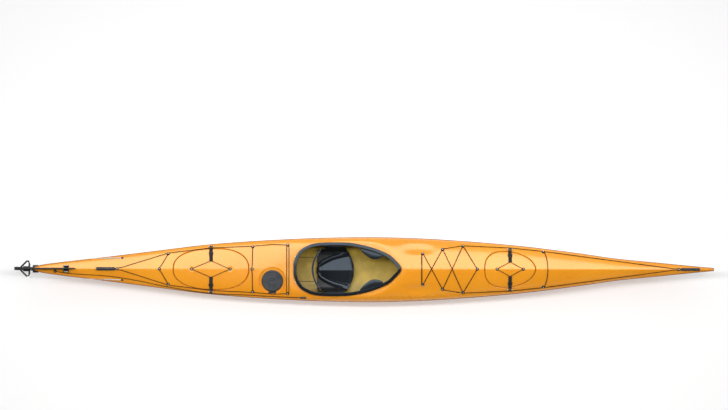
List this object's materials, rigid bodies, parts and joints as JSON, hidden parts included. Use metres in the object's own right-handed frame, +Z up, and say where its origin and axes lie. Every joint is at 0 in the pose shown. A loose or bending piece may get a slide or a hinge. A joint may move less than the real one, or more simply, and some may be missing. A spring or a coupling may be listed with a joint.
{
  "type": "sea kayak",
  "caption": "Long narrow touring kayak: open cockpit with seat and backband, lidded hatches, deck lines, carry toggles and a lifting rudder steered by foot pedals.",
  "frame": {"origin": "middle of the boat's length and width, on the floor that the keel's flat rests on", "axes": "+X to the bow, +Y to port, +Z up"},
  "size_m": [5.5788, 0.5212, 0.384],
  "materials": {
    "deck_gelcoat": "glossy golden orange gelcoat over composite",
    "hull_gelcoat": "glossy orange gelcoat over composite",
    "seam": "dark satin seam tape",
    "inside_laminate": "bare olive yellow laminate",
    "coaming_gloss": "gloss black composite",
    "hatch_rubber": "satin black rubber",
    "black_plastic": "satin black moulded plastic",
    "webbing": "black woven webbing",
    "deck_cord": "dark braided cord",
    "foam": "black fabric over foam",
    "alloy": "dark anodised",
    "stainless": "stainless steel",
    "cable_sleeve": "translucent white tube"
  },
  "bodies": {
    "hull": {"hull_stern": "hull_gelcoat", "hull_rear": "hull_gelcoat", "hull_middle": "hull_gelcoat", "hull_bow": "hull_gelcoat", "deck_shell": "deck_gelcoat", "seam_tape": "seam", "day_bulkhead": "inside_laminate", "rear_bulkhead": "inside_laminate", "front_bulkhead": "inside_laminate", "cockpit_coaming": "coaming_gloss", "rear_hatch_rim": "deck_gelcoat", "rear_hatch_gasket": "hatch_rubber", "front_hatch_rim": "deck_gelcoat", "front_hatch_gasket": "hatch_rubber", "day_hatch_rim": "deck_gelcoat", "stern_perimeter_line": "deck_cord", "bow_perimeter_line": "deck_cord", "stern_vee_bungee": "deck_cord", "aft_vee_bungee": "deck_cord", "cockpit_bungee": "deck_cord", "paddle_line": "deck_cord", "bow_bungee": "deck_cord", "fore_zigzag_bungee": "deck_cord", "cable_sleeve_port": "cable_sleeve", "cable_sleeve_starboard": "cable_sleeve", "rudder_bracket": "black_plastic", "rudder_yaw_pin": "stainless", "rudder_chock": "hatch_rubber", "rudder_haul_line": "deck_cord", "haul_line_cleat": "black_plastic", "seat_pan": "black_plastic", "seat_liner": "coaming_gloss", "backband_bungee_port": "deck_cord", "backband_bungee_starboard": "deck_cord", "thigh_brace_port": "coaming_gloss", "thigh_brace_starboard": "coaming_gloss", "foot_rail_port": "alloy", "foot_rail_starboard": "alloy"},
    "backband": {"backband": "foam"},
    "rear_cover": {"rear_hatch_cover": "deck_gelcoat", "rear_hatch_harness": "webbing"},
    "rear_strap_port": {"rear_hatch_strap_port": "webbing"},
    "rear_strap_starboard": {"rear_hatch_strap_starboard": "webbing"},
    "front_cover": {"front_hatch_cover": "deck_gelcoat", "front_hatch_harness": "webbing"},
    "front_strap_port": {"front_hatch_strap_port": "webbing"},
    "front_strap_starboard": {"front_hatch_strap_starboard": "webbing"},
    "day_cover": {"day_hatch_cover": "hatch_rubber"},
    "stern_toggle": {"stern_toggle": "hatch_rubber"},
    "bow_toggle": {"bow_toggle": "hatch_rubber"},
    "rudder_head": {"rudder_head": "black_plastic", "rudder_yoke": "black_plastic", "rudder_pivot_bolt": "stainless"},
    "rudder_blade": {"rudder_blade": "black_plastic"},
    "rudder_cable_port": {"rudder_cable_port": "stainless"},
    "rudder_cable_starboard": {"rudder_cable_starboard": "stainless"},
    "foot_pedal_port": {"foot_pedal_port": "black_plastic", "pedal_cable_port": "stainless"},
    "foot_pedal_starboard": {"foot_pedal_starboard": "black_plastic", "pedal_cable_starboard": "stainless"}
  },
  "joints": [
    {"name": "rudder_steer", "type": "hinge", "parent": "hull", "child": "rudder_head", "pos_m": [-2.65735, 0, 0.234], "axis": [0, 0, 1], "range_deg": [-30, 30], "deforming": ["rudder_chock"]},
    {"name": "rudder_lift", "type": "hinge", "parent": "rudder_head", "child": "rudder_blade", "pos_m": [-2.76535, 0, 0.3], "axis": [0, -1, 0], "range_deg": [0, 255]},
    {"name": "backband_tilt", "type": "hinge", "parent": "hull", "child": "backband", "pos_m": [-0.28775, 0, 0.164], "axis": [0, 1, 0], "range_deg": [0, 25], "deforming": ["backband_bungee_port", "backband_bungee_starboard"]},
    {"name": "day_cover_lift", "type": "slide", "parent": "hull", "child": "day_cover", "axis": [0, 0, 1], "range_m": [0, 0.045]},
    {"name": "stern_toggle_lift", "type": "hinge", "parent": "hull", "child": "stern_toggle", "pos_m": [-1.98487, 0, 0.28822], "axis": [0, 1, 0], "range_deg": [0, 95]},
    {"name": "bow_toggle_lift", "type": "hinge", "parent": "hull", "child": "bow_toggle", "pos_m": [2.52664, 0, 0.3425], "axis": [0, -1, 0], "range_deg": [0, 95]},
    {"name": "rear_cover_lift", "type": "slide", "parent": "hull", "child": "rear_cover", "axis": [0, 0, 1], "range_m": [0, 0.045]},
    {"name": "rear_strap_port_turn", "type": "hinge", "parent": "hull", "child": "rear_strap_port", "pos_m": [-1.21985, 0.175, 0.23828], "axis": [-1, 0, 0], "range_deg": [0, 112]},
    {"name": "rear_strap_starboard_turn", "type": "hinge", "parent": "hull", "child": "rear_strap_starboard", "pos_m": [-1.21985, -0.175, 0.23828], "axis": [1, 0, 0], "range_deg": [0, 112]},
    {"name": "front_cover_lift", "type": "slide", "parent": "hull", "child": "front_cover", "axis": [0, 0, 1], "range_m": [0, 0.045]},
    {"name": "front_strap_port_turn", "type": "hinge", "parent": "hull", "child": "front_strap_port", "pos_m": [1.1663, 0.155, 0.28226], "axis": [-1, 0, 0], "range_deg": [0, 112]},
    {"name": "front_strap_starboard_turn", "type": "hinge", "parent": "hull", "child": "front_strap_starboard", "pos_m": [1.1663, -0.155, 0.28226], "axis": [1, 0, 0], "range_deg": [0, 112]},
    {"name": "rudder_cable_port_run", "type": "slide", "parent": "hull", "child": "rudder_cable_port", "axis": [0.9992, 0.0247, -0.0319], "range_m": [-0.037, 0.037]},
    {"name": "foot_pedal_port_slide", "type": "slide", "parent": "hull", "child": "foot_pedal_port", "axis": [0.9979, -0.064, 0], "range_m": [-0.037, 0.037]},
    {"name": "rudder_cable_starboard_run", "type": "slide", "parent": "hull", "child": "rudder_cable_starboard", "axis": [0.9992, -0.0247, -0.0319], "range_m": [-0.037, 0.037]},
    {"name": "foot_pedal_starboard_slide", "type": "slide", "parent": "hull", "child": "foot_pedal_starboard", "axis": [0.9979, 0.064, 0], "range_m": [-0.037, 0.037]}
  ],
  "couplings": [
    {"joint": "rear_strap_port_turn", "follows": "rear_cover_lift", "rad_per_m": 42},
    {"joint": "rear_strap_starboard_turn", "follows": "rear_cover_lift", "rad_per_m": 42},
    {"joint": "front_strap_port_turn", "follows": "front_cover_lift", "rad_per_m": 42},
    {"joint": "front_strap_starboard_turn", "follows": "front_cover_lift", "rad_per_m": 42},
    {"joint": "rudder_cable_port_run", "follows": "rudder_steer", "m_per_rad": -0.069},
    {"joint": "foot_pedal_port_slide", "follows": "rudder_steer", "m_per_rad": -0.069},
    {"joint": "rudder_cable_starboard_run", "follows": "rudder_steer", "m_per_rad": 0.069},
    {"joint": "foot_pedal_starboard_slide", "follows": "rudder_steer", "m_per_rad": 0.069}
  ]
}
